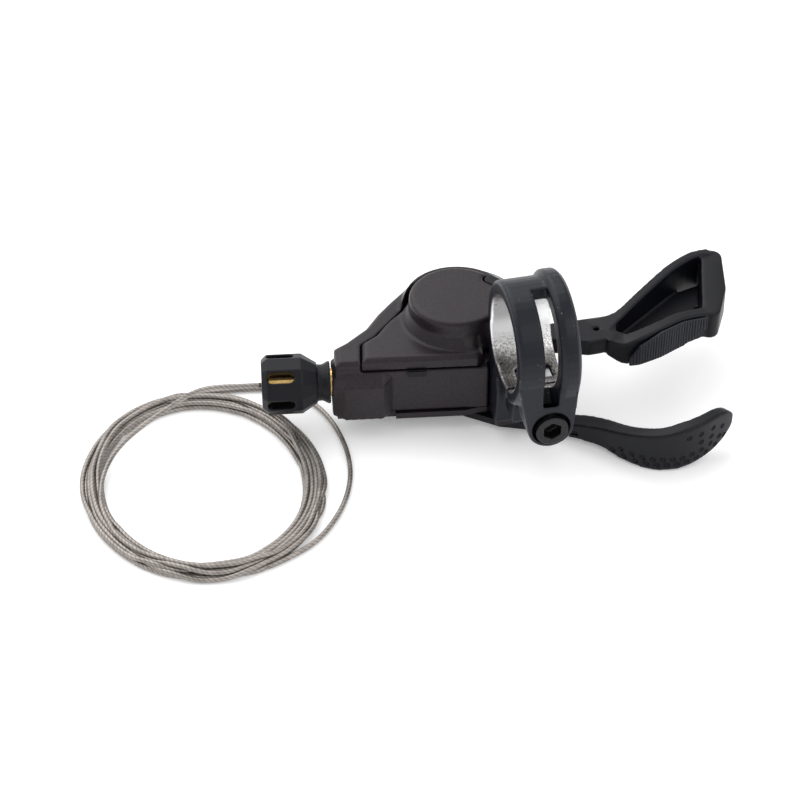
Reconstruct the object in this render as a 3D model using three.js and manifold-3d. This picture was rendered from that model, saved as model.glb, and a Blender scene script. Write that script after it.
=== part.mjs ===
// Below-bar two-lever bicycle shifter with its inner cable coiled beside it.
// Millimetres, +Z up, resting on z = 0. The handlebar runs along X through the clamp.
import * as THREE from 'three';
import { mergeVertices } from 'three/addons/utils/BufferGeometryUtils.js';
import { ConvexGeometry } from 'three/addons/geometries/ConvexGeometry.js';
import Module from 'manifold-3d';

const wasm = await Module();
wasm.setup();

// ---------------------------------------------------------------- driving dimensions
const ORIGIN = [-1.7789, 14.6633]; // where the centre of the base lies in the clamp's own frame
const GAP = 0.3; // clearance between neighbouring pieces
const BAR_RADIUS = 11.1; // 22.2 mm handlebar
const BAR_HEIGHT = 32;
const PIVOT = [-12, 24.9]; // the lever axle, seen from above
const UNIT_YAW = -9; // degrees between the bar and the shifter body

const LEVER_PLATE_Z = [1.6, 3.4];
const BASE_Z = [3.8, 5.4];
const SHELL_Z = [5.7, 20.6];
const RATCHET_Z = [6.4, 8.2];
const DRUM_Z = [10.4, 15.6];
const RELEASE_Z = [16.2, 17.8];
const WING_Z = [18, 21.4];
const DISC_TOP = 28;
const DISC_RADIUS = 11.3;
const WALL = 1.8;

const CABLE_DIAMETER = 1.2;
const CABLE_Y = -11.9; // the cable's line inside the body
const CABLE_Z = 13;
const DRUM_RADIUS = -CABLE_Y - CABLE_DIAMETER / 2 - GAP;

const AXLE_RADIUS = 2.4;
const KNOB_RADIUS = 7.1;
const KNOB_X = [-46.8, -35.2];

// ---------------------------------------------------------------- materials
const paint = (color, roughness, metalness) =>
  new THREE.MeshStandardMaterial({ color, roughness, metalness });
const coverPaint = paint(0x2f2a2c, 0.42, 0.35);
const blackPlastic = paint(0x17181a, 0.5, 0);
const blackAlloy = paint(0x1a1c20, 0.45, 0.4);
const steel = paint(0x8f9296, 0.35, 0.9);
const darkSteel = paint(0x1d1e20, 0.4, 0.6);
const brass = paint(0xc79a4a, 0.35, 0.9);
const wire = paint(0x9a958f, 0.4, 0.85);

// ---------------------------------------------------------------- solids
const radians = THREE.MathUtils.degToRad;

function toManifold(geometry) {
  const bare = geometry.index ? geometry.toNonIndexed() : geometry.clone();
  bare.deleteAttribute('normal');
  bare.deleteAttribute('uv');
  const merged = mergeVertices(bare, 1e-4);
  return new wasm.Manifold(new wasm.Mesh({
    numProp: 3,
    vertProperties: merged.attributes.position.array,
    triVerts: new Uint32Array(merged.index.array),
  }));
}

function toGeometry(manifold) {
  const mesh = manifold.getMesh();
  const geometry = new THREE.BufferGeometry();
  geometry.setAttribute('position', new THREE.BufferAttribute(mesh.vertProperties, 3));
  geometry.setIndex(new THREE.BufferAttribute(mesh.triVerts, 1));
  return geometry;
}

// A shape in XY, standing from z0 to z1, with an optional chamfer round both ends.
function slab(shape, z0, z1, chamfer = 0, curveSegments = 10) {
  const geometry = new THREE.ExtrudeGeometry(shape, {
    depth: z1 - z0 - 2 * chamfer,
    bevelEnabled: chamfer > 0,
    bevelThickness: chamfer,
    bevelSize: chamfer,
    bevelOffset: -chamfer,
    bevelSegments: 1,
    curveSegments,
  });
  return toManifold(geometry.translate(0, 0, z0 + chamfer));
}

function polygon(points) {
  return new THREE.Shape(points.map(([x, y]) => new THREE.Vector2(x, y)));
}

function disc(x, y, radius) {
  return new THREE.Shape().absarc(x, y, radius, 0, 2 * Math.PI, false);
}

// A capsule outline from a to b.
function pill(a, b, radius) {
  const turn = Math.atan2(b[1] - a[1], b[0] - a[0]);
  const shape = new THREE.Shape();
  shape.absarc(b[0], b[1], radius, turn - Math.PI / 2, turn + Math.PI / 2, false);
  shape.absarc(a[0], a[1], radius, turn + Math.PI / 2, turn + 1.5 * Math.PI, false);
  shape.closePath();
  return shape;
}

function block(x0, x1, y0, y1, z0, z1) {
  const box = new THREE.BoxGeometry(x1 - x0, y1 - y0, z1 - z0);
  return toManifold(box.translate((x0 + x1) / 2, (y0 + y1) / 2, (z0 + z1) / 2));
}

function post(x, y, radius, z0, z1, sides = 28) {
  const rod = new THREE.CylinderGeometry(radius, radius, z1 - z0, sides);
  return toManifold(rod.rotateX(Math.PI / 2).translate(x, y, (z0 + z1) / 2));
}

function rodAlongX(y, z, radius, x0, x1, sides = 28) {
  const rod = new THREE.CylinderGeometry(radius, radius, x1 - x0, sides);
  return toManifold(rod.rotateZ(Math.PI / 2).translate((x0 + x1) / 2, y, z));
}

function rodAlongY(x, z, radius, y0, y1, sides = 28) {
  const rod = new THREE.CylinderGeometry(radius, radius, y1 - y0, sides);
  return toManifold(rod.translate(x, (y0 + y1) / 2, z));
}

function hull(points) {
  return toManifold(new ConvexGeometry(points.map((p) => new THREE.Vector3(...p))));
}

function circlePoints(x, y, radius, z, sides = 32) {
  return Array.from({ length: sides }, (_, i) => {
    const angle = (2 * Math.PI * i) / sides;
    return [x + radius * Math.cos(angle), y + radius * Math.sin(angle), z];
  });
}

// A solid turned about Z from [radius, z] points that start and end on the axis.
function turned(profile, sides = 40) {
  const points = profile.map(([r, z]) => new THREE.Vector2(r, z));
  return toManifold(new THREE.LatheGeometry(points, sides).rotateX(Math.PI / 2));
}

function unite(...solids) {
  return solids.reduce((sum, solid) => sum.add(solid));
}

function cut(solid, ...tools) {
  return tools.reduce((rest, tool) => rest.subtract(tool), solid);
}

// The stations with others between them, on smooth curves through the given ones.
function inBetween(stations, steps = 3) {
  const rows = [];
  const last = stations.length - 1;
  for (let i = 0; i < last; i += 1) {
    const four = [i - 1, i, i + 1, i + 2].map((k) => stations[Math.min(Math.max(k, 0), last)]);
    for (let step = 0; step < steps; step += 1) {
      const t = step / steps;
      const row = {};
      for (const field of ['x', 'y', 'low', 'high', 'thick']) {
        const [a, b, c, d] = four.map((station) => station[field]);
        const bend = (2 * a - 5 * b + 4 * c - d) * t * t + (3 * b - a - 3 * c + d) * t * t * t;
        row[field] = b + 0.5 * ((c - a) * t + bend);
      }
      row.low = Math.max(row.low, 0);
      rows.push(row);
    }
  }
  rows.push(stations[last]);
  return rows;
}

// A blade through upright rectangular sections: {x, y, low, high, thick}, square to its run.
function blade(given) {
  const stations = inBetween(given);
  const positions = [];
  const faces = [];
  stations.forEach((station, i) => {
    const before = stations[Math.max(i - 1, 0)];
    const after = stations[Math.min(i + 1, stations.length - 1)];
    const run = new THREE.Vector2(after.x - before.x, after.y - before.y).normalize();
    const back = [-run.y * station.thick, run.x * station.thick];
    positions.push(station.x, station.y, station.low);
    positions.push(station.x + back[0], station.y + back[1], station.low);
    positions.push(station.x + back[0], station.y + back[1], station.high);
    positions.push(station.x, station.y, station.high);
    if (i > 0) {
      const a = 4 * (i - 1);
      for (let side = 0; side < 4; side += 1) {
        const next = (side + 1) % 4;
        faces.push(a + side, a + 4 + side, a + 4 + next);
        faces.push(a + side, a + 4 + next, a + next);
      }
    }
  });
  const last = 4 * (stations.length - 1);
  faces.push(0, 1, 2, 0, 2, 3);
  faces.push(last, last + 2, last + 1, last, last + 3, last + 2);
  for (let i = 0; i < faces.length; i += 3) {
    [faces[i + 1], faces[i + 2]] = [faces[i + 2], faces[i + 1]];
  }
  const geometry = new THREE.BufferGeometry();
  geometry.setAttribute('position', new THREE.Float32BufferAttribute(positions, 3));
  geometry.setIndex(faces);
  return toManifold(geometry);
}

function tubeAlong(curve, diameter, steps, sides = 8) {
  const section = new THREE.Shape();
  for (let i = 0; i < sides; i += 1) {
    const angle = (2 * Math.PI * i) / sides;
    const x = (diameter / 2) * Math.cos(angle);
    const y = (diameter / 2) * Math.sin(angle);
    if (i === 0) section.moveTo(x, y);
    else section.lineTo(x, y);
  }
  section.closePath();
  return new THREE.ExtrudeGeometry(section, { steps, extrudePath: curve, bevelEnabled: false });
}

class Helix extends THREE.Curve {
  constructor(radius, turns, bottom, top) {
    super();
    Object.assign(this, { radius, turns, bottom, top });
  }

  getPoint(t, target = new THREE.Vector3()) {
    const angle = 2 * Math.PI * this.turns * t;
    const height = this.bottom + (this.top - this.bottom) * t;
    return target.set(this.radius * Math.cos(angle), this.radius * Math.sin(angle), height);
  }
}

// ---------------------------------------------------------------- the assembly
const shifter = new THREE.Group();
shifter.position.set(-ORIGIN[0], -ORIGIN[1], 0);
const unit = new THREE.Group(); // the shifter body: origin on the lever axle, X towards the levers
unit.position.set(PIVOT[0], PIVOT[1], 0);
unit.rotation.z = radians(UNIT_YAW);
const clamp = new THREE.Group(); // the clamp: origin under the middle of the bar
shifter.add(unit, clamp);

function place(name, shape, material, parent) {
  const geometry = shape.isBufferGeometry ? shape : toGeometry(shape);
  const mesh = new THREE.Mesh(geometry, material);
  mesh.name = name;
  parent.add(mesh);
}

function inUnitFrame(manifold) {
  const geometry = toGeometry(manifold);
  geometry.translate(-PIVOT[0], -PIVOT[1], 0);
  geometry.rotateZ(radians(-UNIT_YAW));
  return toManifold(geometry);
}

// ---------------------------------------------------------------- clamp
const BAND_OUTER = 14.4;
const WIDE_BAND_OUTER = 15.6;
const BAND_X = [-7.4, 6.8];
const SLOT_X = [-1.5, 2.1];
const SLOT_ANGLES = [91, 235];
const BOLT = { x: 0.6, z: 16.4, radius: 2.5, head: 3.8 };
const EAR_FRONT = -13.8;
const EAR_RADIUS = 5.4;
const EAR_GAP = [-4.4, -3.2];
const BRACKET_Y = [3, 11.6];
const BRACKET_SCREW = [-1, 7.6];

// A shape drawn in (y, z), extruded along X.
function acrossX(shape, x0, x1, chamfer = 0, curveSegments = 24) {
  const geometry = toGeometry(slab(shape, x0, x1, chamfer, curveSegments));
  const basis = new THREE.Matrix4().makeBasis(
    new THREE.Vector3(0, 1, 0), new THREE.Vector3(0, 0, 1), new THREE.Vector3(1, 0, 0));
  return toManifold(geometry.applyMatrix4(basis));
}

function slotSector() {
  const shape = new THREE.Shape();
  const [start, end] = SLOT_ANGLES.map(radians);
  shape.absarc(0, BAR_HEIGHT, WIDE_BAND_OUTER + 1, start, end, false);
  shape.absarc(0, BAR_HEIGHT, BAR_RADIUS - 1, end, start, true);
  shape.closePath();
  return acrossX(shape, SLOT_X[0], SLOT_X[1]);
}

function clampBand() {
  const ring = acrossX(disc(0, BAR_HEIGHT, BAND_OUTER), BAND_X[0], BAND_X[1], 0.6);
  const wide = acrossX(disc(0, BAR_HEIGHT, WIDE_BAND_OUTER), SLOT_X[1], BAND_X[1], 1);
  const earEnds = [EAR_FRONT, EAR_GAP[0]];
  const earTop = [-BAND_OUTER + 0.3, -BAR_RADIUS - 0.5].flatMap((y) => [
    [BAND_X[0], y, BAR_HEIGHT - 3], [BAND_X[1], y, BAR_HEIGHT - 3],
  ]);
  const frontEar = hull([...earTop, ...earEnds.flatMap((y) => (
    circlePoints(BOLT.x, BOLT.z, EAR_RADIUS, y).map(([x, z]) => [x, y, z])
  ))]);
  const rearEar = block(-5.4, 6.2, EAR_GAP[1], BRACKET_Y[0] + 1, 10.4, BAR_HEIGHT - 10);
  const bracket = hull([
    [-7.6, BRACKET_Y[0], SHELL_Z[0]], [6.2, BRACKET_Y[0], SHELL_Z[0]],
    [-7.6, BRACKET_Y[1], SHELL_Z[0]], [6.2, BRACKET_Y[1], SHELL_Z[0]],
    [-7.6, 6, 24], [6.2, 6, 24], [-7.6, BRACKET_Y[1], 30], [6.2, BRACKET_Y[1], 30],
    [-7.6, BRACKET_Y[0], 14], [6.2, BRACKET_Y[0], 14],
  ]);
  return cut(
    unite(ring, wide, frontEar, rearEar, bracket),
    rodAlongX(0, BAR_HEIGHT, BAR_RADIUS, -12, 12, 64),
    slotSector(),
    block(-12, 12, EAR_GAP[0], EAR_GAP[1], 4, BAR_HEIGHT - 8),
    rodAlongY(BOLT.x, BOLT.z, BOLT.radius + GAP, EAR_FRONT - 2, BRACKET_Y[0] + 3),
    rodAlongY(BOLT.x, BOLT.z, BOLT.head + 0.6, EAR_FRONT - 2, EAR_FRONT + 2.2),
    block(BOLT.x - 4.2, BOLT.x + 4.2, -0.6, 3.4, BOLT.z - 4.2, 40),
    post(...BRACKET_SCREW, 1.5 + GAP, 4, 13),
  );
}

function clampBolt() {
  const tip = BRACKET_Y[0] + 1.6;
  const face = EAR_FRONT - 1;
  const socket = new THREE.CylinderGeometry(2.3, 2.3, 3, 6).translate(BOLT.x, face + 1.2, BOLT.z);
  return cut(
    unite(
      rodAlongY(BOLT.x, BOLT.z, BOLT.head, face, EAR_FRONT + 1.9),
      rodAlongY(BOLT.x, BOLT.z, BOLT.radius, EAR_FRONT, tip),
    ),
    toManifold(socket),
  );
}

function clampNut() {
  return cut(
    block(BOLT.x - 3.9, BOLT.x + 3.9, -0.3, 3.1, BOLT.z - 3.9, BOLT.z + 3.9),
    rodAlongY(BOLT.x, BOLT.z, BOLT.radius + GAP, -2, 5),
  );
}

place('clamp_band', clampBand(), blackAlloy, clamp);
place('clamp_bolt', clampBolt(), darkSteel, clamp);
place('clamp_nut', clampNut(), steel, clamp);

function bracketScrew() {
  const head = post(...BRACKET_SCREW, 2.9, BASE_Z[0], BASE_Z[0] + 0.8, 24);
  return unite(head, post(...BRACKET_SCREW, 1.5, BASE_Z[0], 12, 20));
}
place('bracket_screw', bracketScrew(), darkSteel, clamp);

// ---------------------------------------------------------------- housing
const DRIVE_PAWL = { pivot: [-3.2, 11.9], tip: [-7, 6.1] };
const HOLD_PAWL = { pivot: [12.4, -3.8], tip: [8.3, -4.3] };
const POST_RADIUS = 1.2;
const REAR_ARC = { x: 2, y: 6, radius: 15.4 };

function bodyOutline(inset) {
  const shape = new THREE.Shape();
  const front = -15 + inset;
  shape.moveTo(-29.6 + inset, front);
  shape.lineTo(6.4 - inset / 2, front);
  shape.lineTo(14.8 - inset, -11.2 + inset / 2);
  shape.lineTo(17.3 - inset, -3);
  shape.absarc(REAR_ARC.x, REAR_ARC.y, REAR_ARC.radius - inset, 0, radians(150), false);
  shape.lineTo(-15.4 + inset, 8.6 - inset / 2);
  shape.lineTo(-18.6 + inset, 4.2 - inset / 2);
  shape.lineTo(-21.6 + inset / 2, -1 - inset);
  shape.lineTo(-26.8 + inset / 2, -6.2 - inset);
  shape.lineTo(-29.6 + inset, -8.2 - inset);
  shape.closePath();
  return shape;
}

const WING_POINTS = [
  [-23.4, -14.9], [-23, -7.8], [-19.4, -4.8], [-15.2, 0.8], [-11, 6.4],
  [0, 6], [5, 0], [5.2, -13.6], [3.8, -14.9],
];

function grown(points, amount) {
  const x = points.reduce((sum, p) => sum + p[0], 0) / points.length;
  const y = points.reduce((sum, p) => sum + p[1], 0) / points.length;
  return points.map(([px, py]) => {
    const reach = Math.hypot(px - x, py - y);
    return [px + ((px - x) / reach) * amount, py + ((py - y) / reach) * amount];
  });
}

const COVER_SCREW = [-17.4, -6.6];
const PLUG = { from: [8.6, 6.1], to: [13.4, 2.4], radius: 1.6, floor: 25 };

function cableBoss() {
  const section = (x, inset) => [
    [x, -8, SHELL_Z[0] + inset], [x, -17.7 + inset, SHELL_Z[0] + inset],
    [x, -17.7 + inset, 15.2 - inset], [x, -14.6 + inset, 17.8 - inset], [x, -8, 17.8 - inset],
  ];
  return hull([...section(-30.4, 1), ...section(-27.4, 0), ...section(-18.6, 0),
    [-15.6, -14.6, SHELL_Z[0]], [-15.6, -14.6, 16.4], [-15.6, -8, SHELL_Z[0]], [-15.6, -8, 16.4]]);
}

function housingShell() {
  const dome = hull([
    ...circlePoints(REAR_ARC.x, REAR_ARC.y, REAR_ARC.radius - 0.4, SHELL_Z[1] - 0.8, 48),
    ...circlePoints(0.2, 0.2, DISC_RADIUS + 1.1, DISC_TOP - 1, 48),
  ]);
  const walls = unite(
    slab(bodyOutline(0), SHELL_Z[0], SHELL_Z[1] - 1.2),
    slab(bodyOutline(0), SHELL_Z[0] + 1, SHELL_Z[1], 1),
  );
  const outside = unite(walls, dome, cableBoss());
  const hollow = slab(bodyOutline(WALL), SHELL_Z[0] - 1, WING_Z[0] - 2);
  const behindWing = slab(polygon(grown(WING_POINTS, GAP)), WING_Z[0] - GAP, DISC_TOP + 2);
  return cut(
    outside,
    cut(hollow, block(-31, -22.4, -20, 0, 0, 30)),
    behindWing,
    post(0, 0, DISC_RADIUS + GAP, WING_Z[0] - GAP, DISC_TOP + 2, 64),
    post(0, 0, DISC_RADIUS - 0.8, WING_Z[0] - 4, DISC_TOP, 48),
    block(3, 40, -30, -4.4, WING_Z[0] - GAP, 40),
    block(-40, 6, -30, -14.85, WING_Z[0] - GAP, 40),
    slab(pill(PLUG.from, PLUG.to, PLUG.radius + GAP), PLUG.floor - 2.4, 40),
    rodAlongX(CABLE_Y, CABLE_Z, 1.8, -32, -14),
    rodAlongX(CABLE_Y, CABLE_Z, 3.3 + GAP, -32, -23.4),
    hull([[6, -8.4, 15.6], [6, 7, 15.6], [6, -8.4, 20], [6, 7, 20],
      [30, -22, 15.6], [30, 10, 15.6], [30, -22, 20], [30, 10, 20]]),
    post(COVER_SCREW[0], COVER_SCREW[1], 1.5 + GAP, 4, 20, 20),
    inUnitFrame(block(-7.6 - GAP, 8, -20, BRACKET_Y[1] + GAP, 0, 40)),
  );
}
place('housing_shell', housingShell(), coverPaint, unit);

function topCover() {
  const wing = unite(
    slab(polygon(WING_POINTS), WING_Z[0], WING_Z[1] - 1),
    slab(polygon(WING_POINTS), WING_Z[0] + 0.4, WING_Z[1], 0.9),
  );
  const boss = slab(disc(0, 0, DISC_RADIUS), WING_Z[0], DISC_TOP, 0.7, 32);
  const lobe = hull([
    ...circlePoints(0, -4, 6.2, 20), ...circlePoints(0, -4, 5.4, DISC_TOP),
    ...circlePoints(1.8, -8.6, 3.6, 20), ...circlePoints(1.8, -7.6, 2.9, DISC_TOP),
  ]);
  const ridge = hull([
    ...circlePoints(2.2, -11.2, 2.6, 19, 16), ...circlePoints(2.2, -9.8, 2.2, 24.4, 16),
    ...circlePoints(0, -6, 4, 19, 16), ...circlePoints(0, -6, 3.6, 26, 16),
  ]);
  const fillet = hull([
    ...circlePoints(0, 0, DISC_RADIUS + 1.9, WING_Z[1] - 0.6, 48),
    ...circlePoints(0, 0, DISC_RADIUS - 0.2, WING_Z[1] + 3.2, 48),
  ]).intersect(slab(polygon(grown(WING_POINTS, -0.9)), WING_Z[0], DISC_TOP));
  return cut(
    unite(wing, boss, lobe, ridge, fillet),
    post(0, 0, DISC_RADIUS - 1.8, WING_Z[0] - 1, DISC_TOP - 1.8, 48),
    slab(pill(PLUG.from, PLUG.to, PLUG.radius + GAP), PLUG.floor, 40),
    post(COVER_SCREW[0], COVER_SCREW[1], 1.5 + GAP, 17, 20.2, 20),
    inUnitFrame(block(-7.6 - GAP, 8, -20, BRACKET_Y[1] + GAP, 0, 40)),
  );
}
place('top_cover', topCover(), coverPaint, unit);

function accessPlug() {
  return slab(pill(PLUG.from, PLUG.to, PLUG.radius), PLUG.floor + GAP, DISC_TOP - 0.2, 0.4);
}
place('access_plug', accessPlug(), blackPlastic, unit);

function basePlate() {
  const plate = slab(bodyOutline(0.4), BASE_Z[0], BASE_Z[1]);
  const lip = slab(polygon([[-15.4, -15.5], [1, -15.5], [8, -13.6], [8, -4], [-15.4, -4]]),
    BASE_Z[0], BASE_Z[1]);
  const tongue = inUnitFrame(block(-7.2, 5.8, 4, 20, BASE_Z[0], BASE_Z[1]));
  const arc = new THREE.Shape();
  const [start, end] = [radians(96), radians(176)];
  arc.absarc(0, 0, 14.4, start, end, false);
  arc.absarc(0, 0, 10.2, end, start, true);
  arc.closePath();
  return cut(
    unite(plate, lip, tongue),
    post(0, 0, AXLE_RADIUS + GAP, 0, 10),
    slab(arc, 0, 10),
    inUnitFrame(post(...BRACKET_SCREW, 1.5 + GAP, 0, 10)),
    inUnitFrame(post(...BRACKET_SCREW, 2.9 + GAP, 0, BASE_Z[0] + 1.1)),
    post(...HOLD_PAWL.pivot, POST_RADIUS + GAP, 0, 10, 20),
    post(COVER_SCREW[0], COVER_SCREW[1], 1.5 + GAP, 0, 10),
  );
}
place('base_plate', basePlate(), darkSteel, unit);

function coverScrew() {
  const [x, y] = COVER_SCREW;
  return unite(post(x, y, 2.8, 2.2, BASE_Z[0] - GAP, 24), post(x, y, 1.5, 3, 19.8, 20));
}
place('cover_screw', coverScrew(), darkSteel, unit);

function snapTab() {
  return block(-12.8, -8.2, -15.6, -15.2, 16.4, 17.9);
}
place('cover_tab', snapTab(), blackPlastic, unit);

// ---------------------------------------------------------------- axle and drum
const HEAD_TOP = LEVER_PLATE_Z[0] - GAP;

function pivotAxle() {
  return unite(post(0, 0, 5, 0.3, HEAD_TOP, 32), post(0, 0, AXLE_RADIUS, 0.6, 23.4, 32));
}
place('pivot_axle', pivotAxle(), steel, unit);

function axleNut() {
  const nut = new THREE.CylinderGeometry(4.4, 4.4, 2.2, 6).rotateX(Math.PI / 2).translate(0, 0, 22.4);
  return cut(toManifold(nut), post(0, 0, AXLE_RADIUS + GAP, 20, 25));
}
place('axle_nut', axleNut(), steel, unit);

const NIPPLE = [0.6, CABLE_Y + 1.6];

function cableDrum() {
  const bore = AXLE_RADIUS + GAP;
  const groove = DRUM_RADIUS;
  const rim = groove + 1.1;
  const middle = CABLE_Z;
  const profile = [
    [0, RATCHET_Z[1] + GAP], [5, RATCHET_Z[1] + GAP], [5, DRUM_Z[0]], [rim, DRUM_Z[0]],
    [rim, middle - 1.2], [groove, middle - 0.7], [groove, middle + 0.7], [rim, middle + 1.2],
    [rim, DRUM_Z[1]], [0, DRUM_Z[1]],
  ];
  return cut(
    turned(profile, 48),
    post(0, 0, bore, 0, 30),
    post(...NIPPLE, 2.4, middle - 2, DRUM_Z[1] + 1, 20),
  );
}
place('cable_drum', cableDrum(), blackPlastic, unit);

function ratchetWheel() {
  const teeth = 20;
  const points = [];
  for (let i = 0; i < teeth; i += 1) {
    const angle = (2 * Math.PI * i) / teeth;
    points.push([8.6 * Math.cos(angle), 8.6 * Math.sin(angle)]);
    const root = angle + 0.06;
    points.push([7.3 * Math.cos(root), 7.3 * Math.sin(root)]);
  }
  return cut(slab(polygon(points), RATCHET_Z[0], RATCHET_Z[1]), post(0, 0, AXLE_RADIUS + GAP, 0, 30));
}
place('ratchet_wheel', ratchetWheel(), steel, unit);

place('cable_nipple', post(...NIPPLE, 1.9, CABLE_Z - 1.6, CABLE_Z + 1.6, 20), steel, unit);

function spring(radius, wireDiameter, turns, bottom, top) {
  return tubeAlong(new Helix(radius, turns, bottom, top), wireDiameter, Math.round(turns * 18), 6);
}
place('release_spring', spring(3.6, 0.7, 2.5, 18.6, 20.4), steel, unit);
place('main_spring', spring(8.2, 0.8, 2.5, 19, 22.4), steel, unit);

// ---------------------------------------------------------------- main lever
const RIVET = [28, -20.2];
const RIVET_RADIUS = 1;
const RIVET_TOP = 4.3;

function mainLeverPlate() {
  const arm = polygon([
    [2, 6], [7, 1], [17, -12.5], [24, -17], [32.5, -20.4], [32, -23.6], [22.5, -20.8],
    [9, -17.6], [-1, -12], [-7, -3], [-5, 4],
  ]);
  const pawlArm = pill([0, 0], DRIVE_PAWL.pivot, 2.6);
  return cut(
    unite(
      slab(disc(0, 0, 7), LEVER_PLATE_Z[0], LEVER_PLATE_Z[1]),
      slab(arm, LEVER_PLATE_Z[0], LEVER_PLATE_Z[1]),
      slab(pawlArm, LEVER_PLATE_Z[0], LEVER_PLATE_Z[1]),
    ),
    post(0, 0, AXLE_RADIUS + GAP, 0, 10),
    post(...RIVET, RIVET_RADIUS + GAP, 0, 10),
    post(...DRIVE_PAWL.pivot, POST_RADIUS + GAP, 0, 10, 20),
  );
}

// The front foot of the paddle runs in a shallow curve; it dips to the table and lifts at the tip.
const PADDLE = [
  { x: 24.6, y: -22, low: 0.9, high: 5, thick: 4.4 },
  { x: 28, y: -23.4, low: 0.9, high: 5.6, thick: 4.6 },
  { x: 32, y: -25.7, low: 0.8, high: 6.4, thick: 4.4 },
  { x: 36, y: -29.4, low: 0.2, high: 8, thick: 3.9 },
  { x: 40.3, y: -32.6, low: 0, high: 9.6, thick: 3.6 },
  { x: 45.2, y: -34.3, low: 0, high: 10.8, thick: 3.5 },
  { x: 50.4, y: -34, low: 0.4, high: 12, thick: 3.4 },
  { x: 55, y: -32.2, low: 1.4, high: 12.4, thick: 3.2 },
  { x: 58.8, y: -29.6, low: 2.6, high: 12.4, thick: 3 },
  { x: 61.4, y: -27.5, low: 4.4, high: 11.5, thick: 2.8 },
  { x: 63, y: -25.9, low: 6.6, high: 9.6, thick: 2.6 },
];

function mainLeverPaddle() {
  const tongue = slab(
    polygon([[14, -8], [33.2, -19.8], [32.6, -24.2], [14, -19]]),
    LEVER_PLATE_Z[0] - GAP, LEVER_PLATE_Z[1] + GAP,
  );
  return cut(blade(PADDLE), tongue, post(...RIVET, RIVET_RADIUS + GAP, -1, RIVET_TOP + GAP));
}

place('main_lever_plate', mainLeverPlate(), steel, unit);
place('main_lever_paddle', mainLeverPaddle(), blackPlastic, unit);
place('paddle_rivet', post(...RIVET, RIVET_RADIUS, 1, RIVET_TOP, 16), steel, unit);

// ---------------------------------------------------------------- pawls
function pawl({ pivot, tip }) {
  const reach = Math.hypot(tip[0] - pivot[0], tip[1] - pivot[1]);
  const along = [(tip[0] - pivot[0]) / reach, (tip[1] - pivot[1]) / reach];
  const side = [-along[1], along[0]];
  const point = (a, b) => [
    pivot[0] + along[0] * a + side[0] * b, pivot[1] + along[1] * a + side[1] * b,
  ];
  const beak = polygon([point(0, -1.6), point(reach, -0.3), point(reach, 0.5), point(0, 1.6)]);
  return cut(
    unite(slab(disc(...pivot, 2.1), ...RATCHET_Z), slab(beak, ...RATCHET_Z)),
    post(...pivot, POST_RADIUS + GAP, 0, 30),
  );
}

function pawlPost({ pivot }, bottom) {
  return post(...pivot, POST_RADIUS, bottom, RATCHET_Z[1] + 1, 20);
}
place('drive_pawl_post', pawlPost(DRIVE_PAWL, LEVER_PLATE_Z[0]), steel, unit);
place('drive_pawl', pawl(DRIVE_PAWL), steel, unit);
place('hold_pawl_post', pawlPost(HOLD_PAWL, BASE_Z[0]), steel, unit);
place('hold_pawl', pawl(HOLD_PAWL), steel, unit);

// ---------------------------------------------------------------- release lever
const RELEASE_TOP = 19.6;

function releasePlate() {
  const arm = polygon([[0, 4.4], [8, 4], [28, -3.6], [28, -7.4], [8, -5], [0, -5]]);
  return cut(
    unite(slab(disc(0, 0, 5.6), RELEASE_Z[0], RELEASE_Z[1]), slab(arm, RELEASE_Z[0], RELEASE_Z[1])),
    post(0, 0, AXLE_RADIUS + GAP, 0, 30),
  );
}

function releaseLever() {
  const arm = hull([15.2, RELEASE_TOP].flatMap((z) => [
    [19.8, -1.9, z], [19.8, -7.4, z], [31, -1.6, z], [31, -9.4, z], [39, 0.9, z], [37, -8, z],
  ]));
  const backWall = blade([
    { x: 36, y: -5.4, low: 14.8, high: 19.8, thick: 6 },
    { x: 39.8, y: -1.4, low: 14.2, high: 20.4, thick: 2.8 },
    { x: 45.4, y: 4.2, low: 13.4, high: 21.8, thick: 2.4 },
    { x: 54, y: 12.8, low: 13.2, high: 23, thick: 2.4 },
    { x: 60, y: 17.6, low: 13.2, high: 23, thick: 2.4 },
    { x: 64.6, y: 19.6, low: 13.4, high: 22.4, thick: 2.4 },
  ]);
  const rightWall = hull([
    ...circlePoints(64.6, 19, 2.7, 13.4, 16), ...circlePoints(64.4, 18.8, 2.6, 22.2, 16),
    ...circlePoints(61, -0.8, 2.3, 13.8, 16), ...circlePoints(61.2, -0.6, 2.3, 21, 16),
    ...circlePoints(63.8, 7.4, 2.4, 13.6, 16), ...circlePoints(63.8, 7.4, 2.3, 21.4, 16),
  ]);
  const frontWall = blade([
    { x: 35, y: -9, low: 15, high: RELEASE_TOP, thick: 4.6 },
    { x: 38.6, y: -10.6, low: 13.4, high: 19.4, thick: 4.4 },
    { x: 42, y: -10.4, low: 13.3, high: 20.4, thick: 3.4 },
    { x: 48, y: -7.9, low: 13.3, high: 21.4, thick: 3 },
    { x: 54, y: -4.7, low: 13.3, high: 21.6, thick: 3 },
    { x: 60.4, y: -2.6, low: 14.4, high: 21, thick: 3 },
  ]);
  const web = slab(polygon([
    [37, -6], [50, -6.6], [61.6, 10.5], [63.4, 17.4], [54, 13], [45.4, 4.8], [38, 0],
  ]), 14, 15.4);
  const plateSlot = slab(polygon([[10, 3.7], [28.5, -3.2], [28.5, -7.8], [10, -5.5]]),
    RELEASE_Z[0] - GAP, RELEASE_Z[1] + GAP);
  return cut(unite(arm, backWall, rightWall, frontWall, web), plateSlot, post(33, -4.4, 0.7, 17.6, 30, 14));
}

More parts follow.
